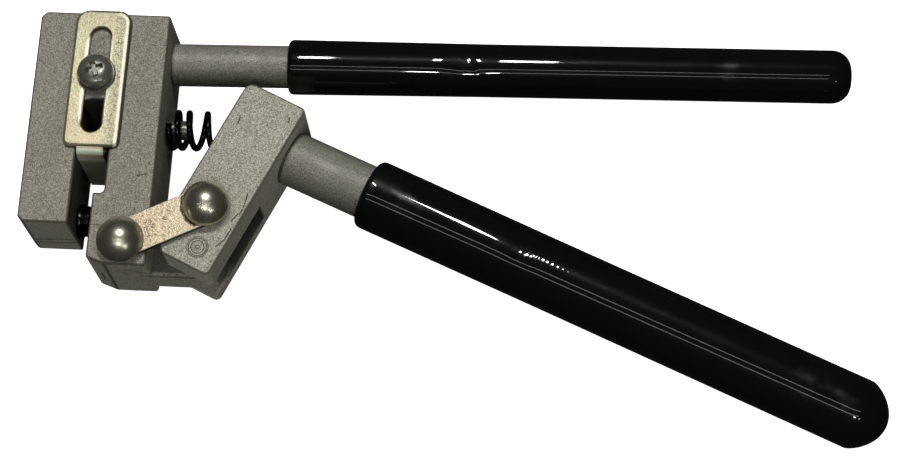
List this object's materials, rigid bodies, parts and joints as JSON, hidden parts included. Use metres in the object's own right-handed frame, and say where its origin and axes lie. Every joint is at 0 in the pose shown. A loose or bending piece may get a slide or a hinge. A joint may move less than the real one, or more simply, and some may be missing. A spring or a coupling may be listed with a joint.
{
  "type": "single hole punch",
  "caption": "Plier-type punch for a single round hole, with a lever-driven punch slide, a die jaw, an adjustable depth gauge and two gripped handles.",
  "frame": {"origin": "centre of the chip outlet, where the punch axis leaves the outer face of the die jaw", "axes": "+X along the punch axis from the die jaw towards the handles, +Y from the punch axis towards the closed end of the jaw, +Z out of the face that carries the depth gauge; handles open, at rest"},
  "size_m": [0.1988, 0.0954, 0.0315],
  "materials": {
    "grey_paint": "sand-textured warm grey paint, semi-matt",
    "grey_rod": "smooth warm grey paint, satin",
    "vinyl": "glossy black dipped vinyl",
    "yellow_zinc": "pale yellow zinc plating, fine grain",
    "cap_steel": "satin steel",
    "bright_steel": "ground steel",
    "zinc": "bright zinc plating",
    "black_oxide": "black oxide on hardened steel",
    "spring_black": "oiled black spring wire"
  },
  "bodies": {
    "jaw": {"jaw_body": "grey_paint", "die": "black_oxide", "upper_rod": "grey_rod", "upper_grip": "vinyl", "spring_peg": "grey_rod", "return_spring": "spring_black", "pivot_block": "grey_paint", "block_pin": "bright_steel"},
    "lever": {"lever_block": "grey_paint", "lower_rod": "grey_rod", "lower_grip": "vinyl", "pivot_pin": "bright_steel", "lever_pin": "bright_steel", "lever_cap_front": "cap_steel", "lever_cap_rear": "cap_steel"},
    "slide": {"punch_slide": "black_oxide", "punch": "bright_steel", "slide_pin": "bright_steel", "slide_cap_front": "cap_steel", "slide_cap_rear": "cap_steel"},
    "links": {"front_link": "yellow_zinc", "rear_link": "yellow_zinc"},
    "gauge": {"gauge_plate": "yellow_zinc"},
    "screw": {"gauge_screw": "zinc", "gauge_washer": "zinc"}
  },
  "joints": [
    {"name": "lever_hinge", "type": "hinge", "parent": "jaw", "child": "lever", "pos_m": [0.04195, -0.009, 0], "axis": [0, 0, 1], "range_deg": [0, 18], "stiffness_Nm_per_rad": 4, "springref_deg": -5.73, "deforming": ["return_spring"]},
    {"name": "punch_slide_joint", "type": "slide", "parent": "jaw", "child": "slide", "axis": [-1, 0, 0], "range_m": [0, 0.0031]},
    {"name": "link_swing", "type": "hinge", "parent": "lever", "child": "links", "pos_m": [0.04327, 0.00076, 0], "axis": [0, 0, 1], "range_deg": [-18.2, 0]},
    {"name": "gauge_slide", "type": "slide", "parent": "jaw", "child": "gauge", "axis": [0, 1, 0], "range_m": [-0.0074, 0.0116]},
    {"name": "screw_turn", "type": "hinge", "parent": "jaw", "child": "screw", "pos_m": [0.01482, 0.0316, 0], "axis": [0, 0, 1], "range_deg": [0, 360]}
  ],
  "couplings": [
    {"joint": "punch_slide_joint", "follows": "lever_hinge", "m_per_rad": 0.009824},
    {"joint": "link_swing", "follows": "lever_hinge", "ratio": -1}
  ]
}
